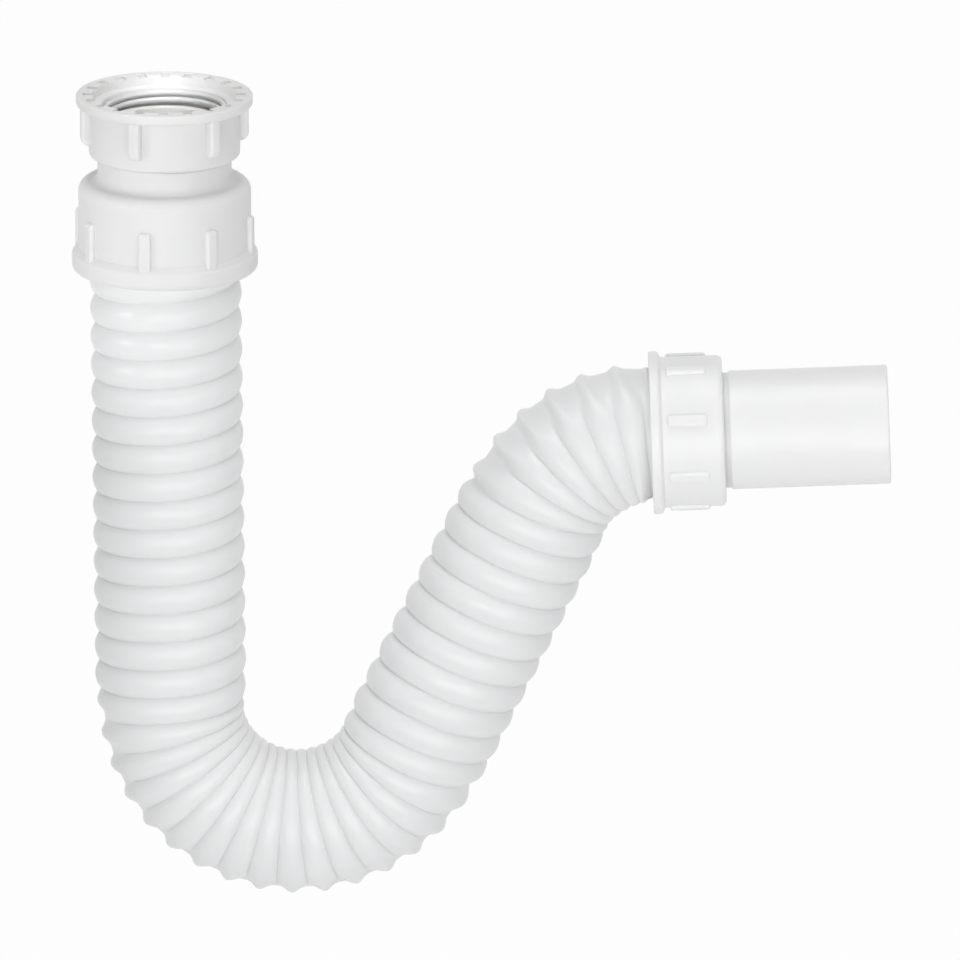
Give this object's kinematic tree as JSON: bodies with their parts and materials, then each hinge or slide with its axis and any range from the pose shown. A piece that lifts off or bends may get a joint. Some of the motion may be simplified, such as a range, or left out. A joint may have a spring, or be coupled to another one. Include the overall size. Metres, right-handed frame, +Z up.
{
  "type": "bidet trap",
  "caption": "Flexible white bidet trap: corrugated U-shaped hose with a screwed inlet nut and a plain outlet pipe for a water seal below a bidet.",
  "frame": {"origin": "on the axis of the inlet thread, just inside its first turn and 4 mm below the inlet nut's rim", "axes": "+Z up out of the inlet nut, +X towards the outlet pipe, -Y towards the viewer of the picture"},
  "size_m": [0.2754, 0.0624, 0.2786],
  "materials": {
    "fitting_white": "satin moulded white polypropylene",
    "hose_white": "glossy blow-moulded white polypropylene",
    "outlet_white": "semi-gloss white polypropylene",
    "seal_rubber": "pale grey soft sealing rubber"
  },
  "bodies": {
    "trap_body": {"inlet_coupler": "fitting_white", "inlet_washer": "seal_rubber", "hose_seal": "seal_rubber", "hose": "hose_white"},
    "inlet_nut": {"inlet_nut": "fitting_white"},
    "outlet_end": {"outlet_pipe": "outlet_white", "outlet_seal": "seal_rubber"},
    "outlet_nut": {"outlet_nut": "outlet_white"}
  },
  "joints": [
    {"name": "inlet_nut_turn", "type": "hinge", "parent": "trap_body", "child": "inlet_nut", "pos_m": [0, 0, 0], "axis": [0, 0, 1], "continuous": true},
    {"name": "outlet_bend", "type": "hinge", "parent": "trap_body", "child": "outlet_end", "pos_m": [0.16291, 0, -0.15554], "axis": [0, -1, 0], "range_deg": [-20, 20], "deforming": ["hose"]},
    {"name": "outlet_nut_turn", "type": "hinge", "parent": "outlet_end", "child": "outlet_nut", "pos_m": [0.16332, 0, -0.1141], "axis": [0.9993, 0, 0.0384], "continuous": true}
  ]
}
